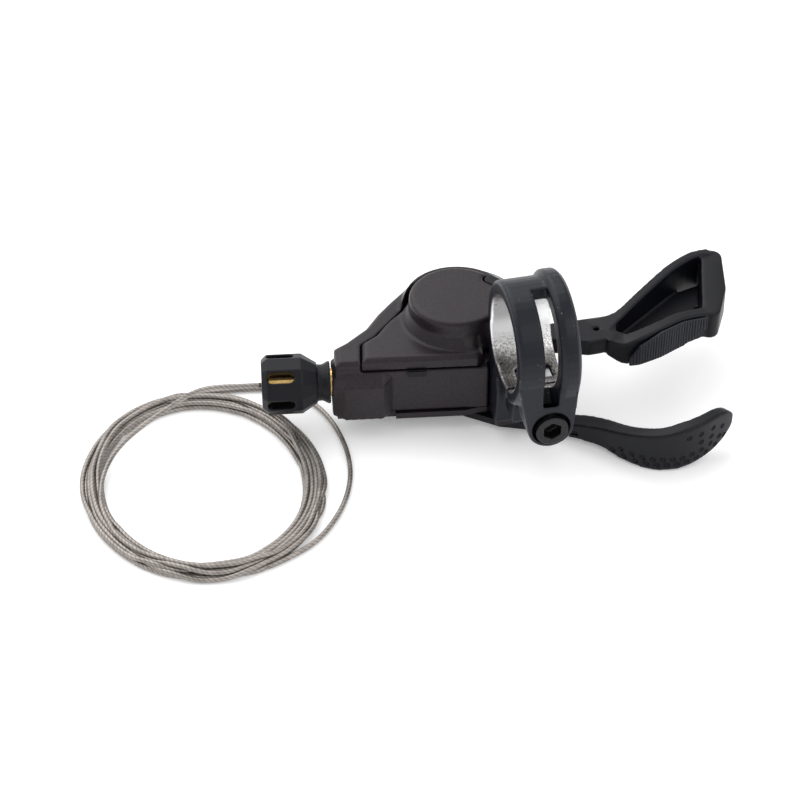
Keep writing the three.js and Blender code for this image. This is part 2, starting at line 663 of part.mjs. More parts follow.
function releaseGrip() {
  return blade([
    { x: 40, y: -11.6, low: 13.4, high: 15.6, thick: 0.5 },
    { x: 42.6, y: -11.1, low: 13.3, high: 18.8, thick: 0.5 },
    { x: 48.2, y: -8.7, low: 13.4, high: 20.9, thick: 0.5 },
    { x: 54, y: -5.6, low: 14, high: 21.1, thick: 0.5 },
    { x: 60, y: -3.6, low: 17.6, high: 20.6, thick: 0.5 },
  ]);
}
place('release_plate', releasePlate(), steel, unit);
const leverSolid = releaseLever();
place('release_lever', leverSolid, blackPlastic, unit);
const leverForward = toManifold(toGeometry(leverSolid).translate(0, -GAP, 0));
place('release_grip', cut(releaseGrip(), leverForward), blackPlastic, unit);

// ---------------------------------------------------------------- adjuster
const NECK_X = -30.7;

const KNOB_SIDES = 12;
const KNOB_TURN = 8; // degrees from +Y to the middle of the first windowed facet
const WINDOW = { from: -44.2, to: -40.4, radius: 1.3 };

// A ring of points round the cable's line, with its facets' middles at KNOB_TURN.
function facetedRing(x, radius) {
  return Array.from({ length: KNOB_SIDES }, (_, i) => {
    const angle = radians(KNOB_TURN + ((i + 0.5) * 360) / KNOB_SIDES);
    return [x, CABLE_Y + radius * Math.cos(angle), CABLE_Z + radius * Math.sin(angle)];
  });
}

function roundRing(x, radius) {
  return circlePoints(CABLE_Y, CABLE_Z, radius, x, 28).map(([y, z]) => [x, y, z]);
}

function adjusterKnob() {
  const grip = hull([
    ...facetedRing(KNOB_X[0], KNOB_RADIUS - 1.2), ...facetedRing(KNOB_X[0] + 1.3, KNOB_RADIUS),
    ...facetedRing(KNOB_X[1] - 2.2, KNOB_RADIUS), ...facetedRing(KNOB_X[1] + 1.4, 4.8),
  ]);
  const neck = rodAlongX(CABLE_Y, CABLE_Z, 4.3, KNOB_X[1] - 1, NECK_X);
  const flare = hull([
    ...roundRing(NECK_X - 1.8, 4.3), ...roundRing(NECK_X - 0.6, 5), ...roundRing(NECK_X, 5),
  ]);
  let knob = cut(
    unite(grip, neck, flare),
    rodAlongX(CABLE_Y, CABLE_Z, 3.3 + GAP, KNOB_X[0] + 1.4, NECK_X + 1),
    rodAlongX(CABLE_Y, CABLE_Z, 1.3, KNOB_X[0] - 1, NECK_X + 1, 20),
  );
  for (let i = 0; i < 6; i += 1) {
    const opening = toGeometry(slab(pill([WINDOW.from, 0], [WINDOW.to, 0], WINDOW.radius), 2, 9));
    opening.rotateX(radians(60 * i + KNOB_TURN - 90)).translate(0, CABLE_Y, CABLE_Z);
    knob = knob.subtract(toManifold(opening));
  }
  return knob;
}
place('adjuster_knob', adjusterKnob(), blackPlastic, unit);

function adjusterBarrel() {
  return cut(
    rodAlongX(CABLE_Y, CABLE_Z, 3.3, KNOB_X[0] + 1.4 + GAP, -24, 32),
    rodAlongX(CABLE_Y, CABLE_Z, 1.1, KNOB_X[0], -20, 16),
  );
}
place('adjuster_barrel', adjusterBarrel(), brass, unit);

// ---------------------------------------------------------------- cable
function innerCable() {
  return rodAlongX(CABLE_Y, CABLE_Z, CABLE_DIAMETER / 2, KNOB_X[0] - 0.2, NIPPLE[0] - 2.8, 8);
}
place('cable_inner', innerCable(), wire, unit);

const LEAD_ROUTE = [
  [-47.3, -11.9, 13], [-50, -11.9, 13], [-53.5, -11.9, 13], [-57, -11.9, 13], [-60, -11.6, 12.4],
  [-63, -11, 10.8], [-66, -10.6, 8.6], [-69, -10.9, 6.6], [-72, -12.1, 5.2], [-75, -14.2, 4.5],
  [-78, -17, 4.4],
];
const LOOP_ROUTE = [
  [-55.5, 1.4, 0.7], [-51.5, 1.8, 0.7], [-47.5, 1.8, 0.7], [-43.5, 1.6, 0.7], [-39.5, 0, 0.7],
  [-35.4, -3.3, 0.7], [-31.7, -8.6, 0.7], [-29.2, -15, 0.7], [-27.4, -22.5, 0.7],
  [-26.9, -30.9, 0.7], [-28.6, -39.6, 0.7], [-32.2, -47.6, 0.7], [-35.4, -52.6, 0.7],
];

function routed(points) {
  return new THREE.CatmullRomCurve3(points.map((p) => new THREE.Vector3(...p)), false, 'centripetal');
}
place('cable_lead', tubeAlong(routed(LEAD_ROUTE), CABLE_DIAMETER, 26), wire, unit);
place('cable_loop', tubeAlong(routed(LOOP_ROUTE), CABLE_DIAMETER, 40), wire, unit);

const COIL = { x: -61.2, y: -31.8, across: 25.6, along: 30.2, turn: 12, width: 5.4, height: 3.3 };

function cableCoil() {
  const inner = 1 - COIL.width / 2 / COIL.across;
  const outer = 1 + COIL.width / 2 / COIL.across;
  const profile = [
    [inner, 0.4], [(inner + outer) / 2, 0], [outer, 0.4], [outer, COIL.height - 0.8],
    [(inner + outer) / 2, COIL.height], [inner, COIL.height - 0.8], [inner, 0.4],
  ].map(([r, z]) => new THREE.Vector2(r, z));
  const ring = new THREE.LatheGeometry(profile, 56).rotateX(Math.PI / 2);
  ring.scale(COIL.across, COIL.along, 1);
  return ring.rotateZ(radians(COIL.turn)).translate(COIL.x, COIL.y, 0.1);
}
place('cable_coil', toManifold(cableCoil()), wire, unit);

export default shifter;
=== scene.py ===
# Looks of the thumb shifter: camera, cable, refined pieces, materials and light.
import math

import bmesh
import bpy
import numpy as np
from mathutils import Matrix, Vector
from mathutils.bvhtree import BVHTree


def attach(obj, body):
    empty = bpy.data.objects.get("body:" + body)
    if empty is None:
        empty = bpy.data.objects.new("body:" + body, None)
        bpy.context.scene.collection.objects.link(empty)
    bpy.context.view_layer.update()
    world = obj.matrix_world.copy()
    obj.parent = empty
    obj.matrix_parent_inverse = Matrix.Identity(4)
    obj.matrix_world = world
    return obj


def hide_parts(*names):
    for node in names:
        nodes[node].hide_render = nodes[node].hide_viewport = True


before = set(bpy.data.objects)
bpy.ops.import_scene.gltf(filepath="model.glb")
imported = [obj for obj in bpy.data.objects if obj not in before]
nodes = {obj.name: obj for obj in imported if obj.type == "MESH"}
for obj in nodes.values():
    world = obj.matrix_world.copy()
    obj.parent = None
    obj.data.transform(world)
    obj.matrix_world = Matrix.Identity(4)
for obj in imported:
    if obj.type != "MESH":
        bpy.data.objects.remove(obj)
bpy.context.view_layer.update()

# ---------------------------------------------------------------- frames, in mm
MM = 0.001
ORIGIN = Vector((-1.7789, 14.6633, 0))
CLAMP = Matrix.Scale(MM, 4) @ Matrix.Translation(-ORIGIN)
UNIT = CLAMP @ Matrix.Translation((-12, 24.9, 0)) @ Matrix.Rotation(math.radians(-9), 4, "Z")
BAR_HEIGHT = 32
CABLE_DIAMETER = 1.2


def in_unit(point):
    return UNIT @ Vector(point)


# ---------------------------------------------------------------- camera
CAMERA_PLACE = (-0.120426, -0.404436, 0.355542)
CAMERA_AZIMUTH, CAMERA_ELEVATION = math.radians(-13.1), math.radians(40)
CAMERA_LENS = 102.96


def add_camera():
    data = bpy.data.cameras.new("camera")
    data.sensor_width = 36
    data.lens = CAMERA_LENS
    camera = bpy.data.objects.new("camera", data)
    azimuth, elevation = CAMERA_AZIMUTH, CAMERA_ELEVATION
    back = Vector((
        math.sin(azimuth) * math.cos(elevation),
        -math.cos(azimuth) * math.cos(elevation),
        math.sin(elevation),
    ))
    right = Vector((math.cos(azimuth), math.sin(azimuth), 0))
    camera.matrix_world = Matrix((right, back.cross(right), back)).transposed().to_4x4()
    camera.location = CAMERA_PLACE
    bpy.context.scene.collection.objects.link(camera)
    bpy.context.scene.camera = camera


add_camera()


# ---------------------------------------------------------------- mesh tools
def new_object(name, vertices, faces, matrix=UNIT, smooth=True):
    mesh = bpy.data.meshes.new(name)
    mesh.from_pydata([matrix @ Vector(v) for v in vertices], [], faces)
    if smooth:
        mesh.polygons.foreach_set("use_smooth", [True] * len(mesh.polygons))
    mesh.update()
    piece = bpy.data.objects.new(name, mesh)
    bpy.context.scene.collection.objects.link(piece)
    return piece


def baked(piece):
    """The piece with its modifiers applied."""
    bpy.context.view_layer.update()
    graph = bpy.context.evaluated_depsgraph_get()
    mesh = bpy.data.meshes.new_from_object(piece.evaluated_get(graph))
    old = piece.data
    piece.modifiers.clear()
    piece.data = mesh
    bpy.data.meshes.remove(old)
    return piece


def boolean(piece, other, operation):
    modifier = piece.modifiers.new("boolean", "BOOLEAN")
    modifier.operation = operation
    modifier.solver = "EXACT"
    modifier.object = other
    baked(piece)
    bpy.data.objects.remove(other)
    return piece


def rounded(piece, voxel_mm, turns, strength=0.5):
    """Softens every edge by about turns x voxel: a voxel remesh, then smoothing."""
    remesh = piece.modifiers.new("remesh", "REMESH")
    remesh.mode = "VOXEL"
    remesh.voxel_size = voxel_mm * MM
    remesh.use_smooth_shade = True
    smooth = piece.modifiers.new("smooth", "SMOOTH")
    smooth.factor = strength
    smooth.iterations = turns
    return piece


def loft(name, rings, matrix=UNIT):
    """A closed solid through rings of points, all with the same count."""
    size = len(rings[0])
    vertices = [p for ring in rings for p in ring]
    faces = []
    for r in range(len(rings) - 1):
        for i in range(size):
            j = (i + 1) % size
            a = r * size
            faces.append((a + i, a + j, a + size + j, a + size + i))
    faces.append(tuple(range(size - 1, -1, -1)))
    last = (len(rings) - 1) * size
    faces.append(tuple(range(last, last + size)))
    piece = new_object(name, vertices, faces, matrix)
    bm = bmesh.new()
    bm.from_mesh(piece.data)
    bmesh.ops.recalc_face_normals(bm, faces=bm.faces)
    bm.to_mesh(piece.data)
    bm.free()
    return piece


def spline(points, count):
    """Points along a smooth curve through the given ones (centripetal, as in the CAD)."""
    p = np.array(points, float)
    p = np.vstack([2 * p[0] - p[1], p, 2 * p[-1] - p[-2]])
    knots = np.concatenate([[0], np.cumsum(np.linalg.norm(np.diff(p, axis=0), axis=1) ** 0.5)])
    out = []
    for t in np.linspace(knots[1], knots[-2], count):
        i = int(np.clip(np.searchsorted(knots, t, "right") - 1, 1, len(p) - 3))
        t0, t1, t2, t3 = knots[i - 1:i + 3]
        a1 = (t1 - t) / (t1 - t0) * p[i - 1] + (t - t0) / (t1 - t0) * p[i]
        a2 = (t2 - t) / (t2 - t1) * p[i] + (t - t1) / (t2 - t1) * p[i + 1]
        a3 = (t3 - t) / (t3 - t2) * p[i + 1] + (t - t2) / (t3 - t2) * p[i + 2]
        b1 = (t2 - t) / (t2 - t0) * a1 + (t - t0) / (t2 - t0) * a2
        b2 = (t3 - t) / (t3 - t1) * a2 + (t - t1) / (t3 - t1) * a3
        out.append((t2 - t) / (t2 - t1) * b1 + (t - t1) / (t2 - t1) * b2)
    return np.array(out)


def even(path, step):
    """The path again, in equal steps."""
    lengths = np.concatenate([[0], np.cumsum(np.linalg.norm(np.diff(path, axis=0), axis=1))])
    marks = np.linspace(0, lengths[-1], int(round(lengths[-1] / step)) + 1)
    return np.stack([np.interp(marks, lengths, path[:, k]) for k in range(3)], 1)


# ---------------------------------------------------------------- cable
LEAD_ROUTE = [
    (-46.95, -11.9, 13), (-50, -11.9, 13), (-53.5, -11.9, 13), (-57, -11.9, 13),
    (-60, -11.6, 12.4), (-63, -11, 10.8), (-66, -10.6, 8.6), (-69, -10.9, 6.6),
    (-72, -12.1, 5.2), (-75, -14.2, 4.5), (-78, -17, 4.4),
]
LOOP_ROUTE = [
    (-55.5, 1.4, 0.7), (-51.5, 1.8, 0.7), (-47.5, 1.8, 0.7), (-43.5, 1.6, 0.7),
    (-39.5, 0, 0.7), (-35.4, -3.3, 0.7), (-31.7, -8.6, 0.7), (-29.2, -15, 0.7),
    (-27.4, -22.5, 0.7), (-26.9, -30.9, 0.7), (-28.6, -39.6, 0.7), (-32.2, -47.6, 0.7),
    (-35.4, -52.6, 0.7),
]
COIL = {"x": -61.2, "y": -31.8, "across": 25.6, "along": 30.2, "turn": math.radians(12)}
CABLE_LENGTH = 1.99
STRAY_TURN = 8  # the turn that leaves the coil and follows LOOP_ROUTE
STRAY_BLEND = 0.6  # radians over which it leaves and rejoins
STRAY_HEIGHT = 0.7
COIL_RADIUS = 27.9  # mean radius, against which offsets are measured
TURN_STEP = math.radians(3)
STEP = 1.5
LEAD_HELD = 36  # this much of the lead keeps its shape while the coil settles
LOOSE_FROM, LOOSE_OVER = 30, 60  # the rest becomes free to move over this stretch
SETTLE_ROUNDS, FALLING_ROUNDS = 130, 110
NEIGHBOURS = 6  # steps along the cable that don't push each other


def oval(angle, offset):
    """A point on the coil's oval, moved outwards by offset mm."""
    scale = 1 + offset / COIL_RADIUS
    x = COIL["across"] * scale * np.cos(angle)
    y = COIL["along"] * scale * np.sin(angle)
    c, s = math.cos(COIL["turn"]), math.sin(COIL["turn"])
    return COIL["x"] + c * x - s * y, COIL["y"] + s * x + c * y


def oval_angle(point):
    c, s = math.cos(COIL["turn"]), math.sin(COIL["turn"])
    x, y = point[0] - COIL["x"], point[1] - COIL["y"]
    u, v = (c * x + s * y) / COIL["across"], (-s * x + c * y) / COIL["along"]
    return math.atan2(v, u), (math.hypot(u, v) - 1) * COIL_RADIUS


def cable_path():
    lead = spline(LEAD_ROUTE, 60)
    lead_length = np.linalg.norm(np.diff(lead, axis=0), axis=1).sum()
    stray = sorted(oval_angle(p) for p in LOOP_ROUTE)
    stray_angles = [a for a, _ in stray]
    stray_offsets = [o for _, o in stray]
    angle, offset0 = oval_angle(LEAD_ROUTE[-1])
    rows = []
    length = lead_length
    last = Vector(LEAD_ROUTE[-1])
    theta = angle + math.radians(7)
    while length < CABLE_LENGTH / MM + 2:
        turns = (theta - angle) / (2 * math.pi)
        wander = 0.9 * math.sin(0.37 * theta + 0.6) + 0.6 * math.sin(0.83 * theta + 2.1)
        wander += 0.3 * math.sin(1.61 * theta + 4) + 0.2 * math.sin(2.3 * theta + 1)
        settle = min(1, turns * 5)
        offset = (1 - settle) * offset0 + settle * wander
        height = 4.2 - 0.3 * turns
        local = (theta + math.pi) % (2 * math.pi) - math.pi
        if STRAY_TURN <= turns < STRAY_TURN + 1.2:
            strayed = np.interp(local, stray_angles, stray_offsets, left=-99, right=-99)
            first, final = stray_angles[0], stray_angles[-1]
            if strayed > -90:
                offset, height = strayed, STRAY_HEIGHT
            elif first - STRAY_BLEND < local < first:
                t = (first - local) / STRAY_BLEND
                offset = stray_offsets[0] * (1 - t) + offset * t
                height = STRAY_HEIGHT * (1 - t) + height * t
            elif final < local < final + STRAY_BLEND:
                t = (local - final) / STRAY_BLEND
                offset = stray_offsets[-1] * (1 - t) + offset * t
                height = STRAY_HEIGHT * (1 - t) + height * t
        x, y = oval(theta, offset)
        point = Vector((x, y, height))
        length += (point - last).length
        last = point
        rows.append(point)
        theta += TURN_STEP
    return settled(even(np.vstack([lead, np.array(rows)]), STEP))


def settled(path):
    """Lets the turns push each other apart and drop, as real ones do, holding the lead."""
    p = path.copy()
    home = path.copy()
    count = len(p)
    index = np.arange(count)
    near = np.abs(index[:, None] - index[None, :]) < NEIGHBOURS
    held = index * STEP < LEAD_HELD
    free = np.clip((index * STEP - LOOSE_FROM) / LOOSE_OVER, 0, 1)[:, None]
    space = CABLE_DIAMETER * 1.01
    for turn in range(SETTLE_ROUNDS):
        delta = p[:, None, :] - p[None, :, :]
        distance = np.sqrt((delta ** 2).sum(2)) + 1e-9
        push = np.where((distance < space) & ~near, (space - distance) / distance, 0)
        move = 0.45 * (delta * push[:, :, None]).sum(1)
        length = np.linalg.norm(move, axis=1, keepdims=True)
        move *= np.minimum(1, 0.35 / np.maximum(length, 1e-9))
        move[1:-1] += 0.22 * ((p[:-2] + p[2:]) / 2 - p[1:-1])
        move[:, :2] += 0.03 * (home - p)[:, :2]
        move[:, 2] -= 0.05 * (turn < FALLING_ROUNDS)
        p += move * free
        p[:, 2] = np.maximum(p[:, 2], CABLE_DIAMETER / 2 + 0.05)
        link = p[1:] - p[:-1]
        stretch = np.linalg.norm(link, axis=1, keepdims=True)
        fix = 0.25 * link * (1 - STEP / stretch)
        fix[: int(LEAD_HELD / STEP)] = 0
        p[:-1][~held[:-1]] += fix[~held[:-1]]
        p[1:][~held[1:]] -= fix[~held[1:]]
    return p


def cable_tube(path):
    """A tube of six twisted strands along the path, with u along it and v round it."""
    fine = even(spline(path, len(path) * 4), 0.6)
    lengths = np.concatenate([[0], np.cumsum(np.linalg.norm(np.diff(fine, axis=0), axis=1))])
    keep = lengths <= CABLE_LENGTH / MM
    fine, lengths = fine[keep], lengths[keep]
    sides, strands, lay = 18, 6, 6.5
    tangent = np.gradient(fine, axis=0)
    tangent /= np.linalg.norm(tangent, axis=1, keepdims=True)
    side = np.cross(tangent, [0, 0, 1])
    side /= np.linalg.norm(side, axis=1, keepdims=True)
    over = np.cross(side, tangent)
    around = np.linspace(0, 2 * math.pi, sides, endpoint=False)
    twist = 2 * math.pi * lengths[:, None] / lay
    radius = CABLE_DIAMETER / 2 * (0.97 + 0.03 * np.abs(np.cos(strands / 2 * around)))
    turn = around[None, :] + twist
    ring = (fine[:, None, :] + (radius * np.cos(turn))[:, :, None] * side[:, None, :]
            + (radius * np.sin(turn))[:, :, None] * over[:, None, :])
    count = len(fine)
    vertices = ring.reshape(-1, 3)
    faces = []
    for r in range(count - 1):
        a = r * sides
        for i in range(sides):
            j = (i + 1) % sides
            faces.append((a + i, a + j, a + sides + j, a + sides + i))
    faces.append(tuple(range(sides - 1, -1, -1)))
    faces.append(tuple(range((count - 1) * sides, count * sides)))
    piece = new_object("shift_cable", vertices, faces)
    layer = piece.data.uv_layers.new(name="UVMap")
    uv = np.zeros((len(piece.data.loops), 2), np.float32)
    quads = (count - 1) * sides
    r, i = np.divmod(np.arange(quads), sides)
    u0, u1 = lengths[r] * MM, lengths[r + 1] * MM
    v0, v1 = i / sides, (i + 1) / sides
    uv[: quads * 4] = np.stack([
        np.stack([u0, v0], 1), np.stack([u0, v1], 1),
        np.stack([u1, v1], 1), np.stack([u1, v0], 1)], 1).reshape(-1, 2)
    layer.data.foreach_set("uv", uv.ravel())
    return piece, fine


cable_line = cable_path()
cable, cable_centre = cable_tube(cable_line)
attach(cable, "shifter_body")
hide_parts("cable_lead", "cable_loop", "cable_coil")


# ---------------------------------------------------------------- refined pieces
def copy_of(name):
    """A new piece in the node's shape, to be worked on."""
    node = nodes[name]
    mesh = bpy.data.meshes.new_from_object(node)
    mesh.transform(node.matrix_world)
    piece = bpy.data.objects.new(name + "_fine", mesh)
    bpy.context.scene.collection.objects.link(piece)
    return piece


DIMPLE_RADIUS = 0.85
DIMPLE_OUT = 0.35  # each cutting ball's centre stands this far off the face
# The paddle's lower edge: x, then height.
FOOT = ([33, 36, 40, 50, 55, 59, 61.4, 63], [0.8, 0.2, 0, 0.4, 1.4, 2.6, 4.2, 6.4])


def dimple_places():
    """x and height of each dimple: two staggered rows along the foot, and six near the tip."""
    lower = [(34.6 + 2.36 * i, 1.5) for i in range(12)]
    upper = [(36.2 + 2.3 * i, 3.1) for i in range(11)]
    rows = [(x, np.interp(x, *FOOT) + above) for x, above in lower + upper]
    return rows + [(51.2, 9.2), (54.2, 9.3), (54.4, 6.9), (57.3, 9.5), (57, 7.2), (59.8, 8.4)]


def paddle_with_dimples():
    piece = copy_of("main_lever_paddle")
    baked(rounded(piece, 0.3, 22))
    tree = BVHTree.FromPolygons([v.co[:] for v in piece.data.vertices],
                                [f.vertices[:] for f in piece.data.polygons])
    ahead = (in_unit((0, 1, 0)) - in_unit((0, 0, 0))).normalized()
    bm = bmesh.new()
    for x, z in dimple_places():
        point, normal = tree.ray_cast(in_unit((x, -60, z)), ahead)[:2]
        if point is None:
            continue
        place = Matrix.Translation(point + normal * DIMPLE_OUT * MM)
        bmesh.ops.create_icosphere(bm, subdivisions=3, radius=DIMPLE_RADIUS * MM, matrix=place)
    mesh = bpy.data.meshes.new("dimples")
    bm.to_mesh(mesh)
    bm.free()
    dimples = bpy.data.objects.new("dimples", mesh)
    bpy.context.scene.collection.objects.link(dimples)
    boolean(piece, dimples, "DIFFERENCE")
    piece.data.polygons.foreach_set("use_smooth", [True] * len(piece.data.polygons))
    sharp = piece.modifiers.new("sharp edges", "EDGE_SPLIT")
    sharp.split_angle = math.radians(32)
    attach(piece, "main_lever")
    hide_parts("main_lever_paddle")
    return piece


# x, y, low and high along the front of the pad.
GRIP_FRONT = [(40.3, -11.6, 13.5, 15.9), (42.6, -11.1, 13.3, 18.8), (48.2, -8.7, 13.4, 20.9),
              (54, -5.6, 14, 21.1), (59.8, -3.7, 17.4, 20.6)]
RIB_PITCH = 0.74
RIB_STEP = 0.06


def ribbed_grip():
    """The pad as a blade whose front swells and sinks once for each upright rib."""
    path = even(spline([(x, y, 0) for x, y, _, _ in GRIP_FRONT], 300), RIB_STEP)
    low = np.interp(path[:, 0], [g[0] for g in GRIP_FRONT], [g[2] for g in GRIP_FRONT])
    high = np.interp(path[:, 0], [g[0] for g in GRIP_FRONT], [g[3] for g in GRIP_FRONT])
    run = np.gradient(path[:, :2], axis=0)
    run /= np.linalg.norm(run, axis=1, keepdims=True)
    front = np.stack([run[:, 1], -run[:, 0]], 1)
    rings = []
    for i, (x, y, _) in enumerate(path):
        rise = 0.34 * math.sqrt(abs(math.sin(math.pi * i * RIB_STEP / RIB_PITCH))) - 0.14
        fx, fy = x + front[i, 0] * rise, y + front[i, 1] * rise
        bx, by = x - front[i, 0] * 0.5, y - front[i, 1] * 0.5
        rings.append([(fx, fy, low[i] + 0.15), (fx, fy, high[i] - 0.15), (x, y, high[i]),
                      (bx, by, high[i]), (bx, by, low[i]), (x, y, low[i])])
    piece = loft("release_grip_fine", rings)
    sharp = piece.modifiers.new("sharp edges", "EDGE_SPLIT")
    sharp.split_angle = math.radians(40)
    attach(piece, "release")
    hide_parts("release_grip")
    return piece


paddle = paddle_with_dimples()
grip = ribbed_grip()


# ---------------------------------------------------------------- materials
def material(name):
    made = bpy.data.materials.new(name)
    made.use_nodes = True
    tree = made.node_tree
    return made, tree, tree.nodes["Principled BSDF"]


def linked(tree, kind, **inputs):
    node = tree.nodes.new(kind)
    for key, value in inputs.items():
        socket = node.inputs[key.replace("_", " ")]
        if isinstance(value, bpy.types.NodeSocket):
            tree.links.new(value, socket)
        else:
            socket.default_value = value
    return node


def noise(tree, scale, detail=2.0, rough=0.5, stretch=(1, 1, 1)):
    place = tree.nodes.new("ShaderNodeTexCoord")
    mapping = linked(tree, "ShaderNodeMapping", Vector=place.outputs["Object"])
    mapping.inputs["Scale"].default_value = stretch
    return linked(tree, "ShaderNodeTexNoise", Vector=mapping.outputs["Vector"],
                  Scale=scale, Detail=detail, Roughness=rough).outputs["Fac"]


def ramp(tree, fac, stops):
    node = linked(tree, "ShaderNodeValToRGB", Fac=fac)
    elements = node.color_ramp.elements
    while len(elements) < len(stops):
        elements.new(0.5)
    for element, (position, color) in zip(elements, stops):
        element.position = position
        element.color = (*color, 1) if len(color) == 3 else color
    return node.outputs["Color"]


def spread(tree, fac, low, high, start=0.3, end=0.7):
    node = linked(tree, "ShaderNodeMapRange", Value=fac)
    node.inputs["From Min"].default_value = start
    node.inputs["From Max"].default_value = end
    node.inputs["To Min"].default_value = low
    node.inputs["To Max"].default_value = high
    return node.outputs["Result"]


def bump(tree, shader, height, strength, distance):
    node = linked(tree, "ShaderNodeBump", Height=height)
    node.inputs["Strength"].default_value = strength
    node.inputs["Distance"].default_value = distance
    tree.links.new(node.outputs["Normal"], shader.inputs["Normal"])
    return node


def grainy(name, dark, light, rough, metallic,
           grain=4500, depth=0.00002, strength=0.3, shine=0.5):
    """A paint or moulded surface: fine grain in the colour, the gloss and the relief."""
    made, tree, shader = material(name)
    fine = noise(tree, grain, 3, 0.6)
    broad = noise(tree, 60, 2, 0.5)
    tree.links.new(ramp(tree, fine, [(0.35, dark), (0.68, light)]), shader.inputs["Base Color"])
    tree.links.new(spread(tree, broad, rough[0], rough[1]), shader.inputs["Roughness"])
    shader.inputs["Metallic"].default_value = metallic
    shader.inputs["Specular IOR Level"].default_value = shine
    bump(tree, shader, fine, strength, depth)
    return made


cover_paint = grainy("cover_paint", (0.0085, 0.0062, 0.0080), (0.027, 0.0205, 0.0255),
                     (0.34, 0.43), 0.35, grain=3800, depth=0.000012, strength=0.25, shine=0.4)
black_plastic = grainy("black_plastic", (0.0014, 0.0016, 0.0032), (0.0038, 0.0042, 0.0078),
                       (0.36, 0.46), 0.0, grain=3000, depth=0.00002, strength=0.35, shine=0.23)
grip_plastic = grainy("grip_plastic", (0.004, 0.0048, 0.0085), (0.010, 0.0115, 0.018),
                      (0.45, 0.55), 0.0, grain=2600, depth=0.00003, strength=0.5, shine=0.35)
dark_steel = grainy("dark_steel", (0.006, 0.006, 0.007), (0.015, 0.015, 0.017),
                    (0.25, 0.34), 0.5, grain=1800, depth=0.00001, strength=0.2)
steel = grainy("steel", (0.42, 0.42, 0.43), (0.58, 0.58, 0.58),
               (0.26, 0.4), 1.0, grain=1500, depth=0.00001, strength=0.2)
brass = grainy("brass", (0.62, 0.40, 0.14), (0.86, 0.60, 0.24),
               (0.22, 0.34), 1.0, grain=1200, depth=0.00001, strength=0.2)


BORE_EDGE = (0.01135, 0.0116)  # radius, in m, over which bare bore turns to paint


def clamp_finish():
    """Satin black outside with pale dust specks; inside the bore, bright bare metal in wear
    patches plus a painted highlight streak along its mid-height.
    """
    made, tree, shader = material("black_alloy")
    place = tree.nodes.new("ShaderNodeTexCoord")
    split = linked(tree, "ShaderNodeSeparateXYZ", Vector=place.outputs["Object"])
    centre = CLAMP @ Vector((0, 0, BAR_HEIGHT))

    def math_node(kind, a, b=None):
        node = tree.nodes.new("ShaderNodeMath")
        node.operation = kind
        for socket, value in zip(node.inputs, (a, b)):
            if value is None:
                continue
            if isinstance(value, bpy.types.NodeSocket):
                tree.links.new(value, socket)
            else:
                socket.default_value = value
        return node.outputs[0]

    y = math_node("SUBTRACT", split.outputs["Y"], centre.y)
    z = math_node("SUBTRACT", split.outputs["Z"], centre.z)
    squares = math_node("ADD", math_node("MULTIPLY", y, y), math_node("MULTIPLY", z, z))
    radius = math_node("SQRT", squares)
    inside = spread(tree, radius, 1, 0, *BORE_EDGE)
    fine = noise(tree, 3200, 3, 0.6)
    black = ramp(tree, fine, [(0.35, (0.0026, 0.0034, 0.0070)),
                              (0.68, (0.0062, 0.0078, 0.0145))])
    dust = ramp(tree, noise(tree, 1700, 0, 0.5), [(0.82, (0, 0, 0)), (0.86, (1, 1, 1))])
    dusty = tree.nodes.new("ShaderNodeMix")
    dusty.data_type = "RGBA"
    tree.links.new(dust, dusty.inputs["Factor"])
    tree.links.new(black, dusty.inputs["A"])
    dusty.inputs["B"].default_value = (0.12, 0.115, 0.1, 1)
    # Painted highlight: a bright streak at the bore's mid-height, added to the wear patches.
    height = math_node("ABSOLUTE", math_node("ADD", z, 0.002))
    painted_highlight_band = spread(tree, height, 0.3, 0, 0.001, 0.0105)
    patch = math_node("ADD", math_node("MULTIPLY", noise(tree, 2200, 4, 0.7), 0.45),
                      math_node("MULTIPLY", noise(tree, 160, 1, 0.5), 0.25))
    patch = math_node("ADD", patch, painted_highlight_band)
    wear_and_highlight = ramp(tree, patch, [(0.32, (0.03, 0.027, 0.026)), (0.45, (0.33, 0.32, 0.31)),
                              (0.56, (0.9, 0.9, 0.9))])
    both = tree.nodes.new("ShaderNodeMix")
    both.data_type = "RGBA"
    tree.links.new(inside, both.inputs["Factor"])
    tree.links.new(dusty.outputs["Result"], both.inputs["A"])
    tree.links.new(wear_and_highlight, both.inputs["B"])
    tree.links.new(both.outputs["Result"], shader.inputs["Base Color"])
    tree.links.new(spread(tree, inside, 0.12, 0.9, 0, 1), shader.inputs["Metallic"])
    shader.inputs["Specular IOR Level"].default_value = 0.32
    gloss = spread(tree, noise(tree, 50, 2, 0.5), 0.33, 0.43)
    tree.links.new(gloss, shader.inputs["Roughness"])
    bump(tree, shader, fine, 0.25, 0.000015)
    return made


black_alloy = clamp_finish()


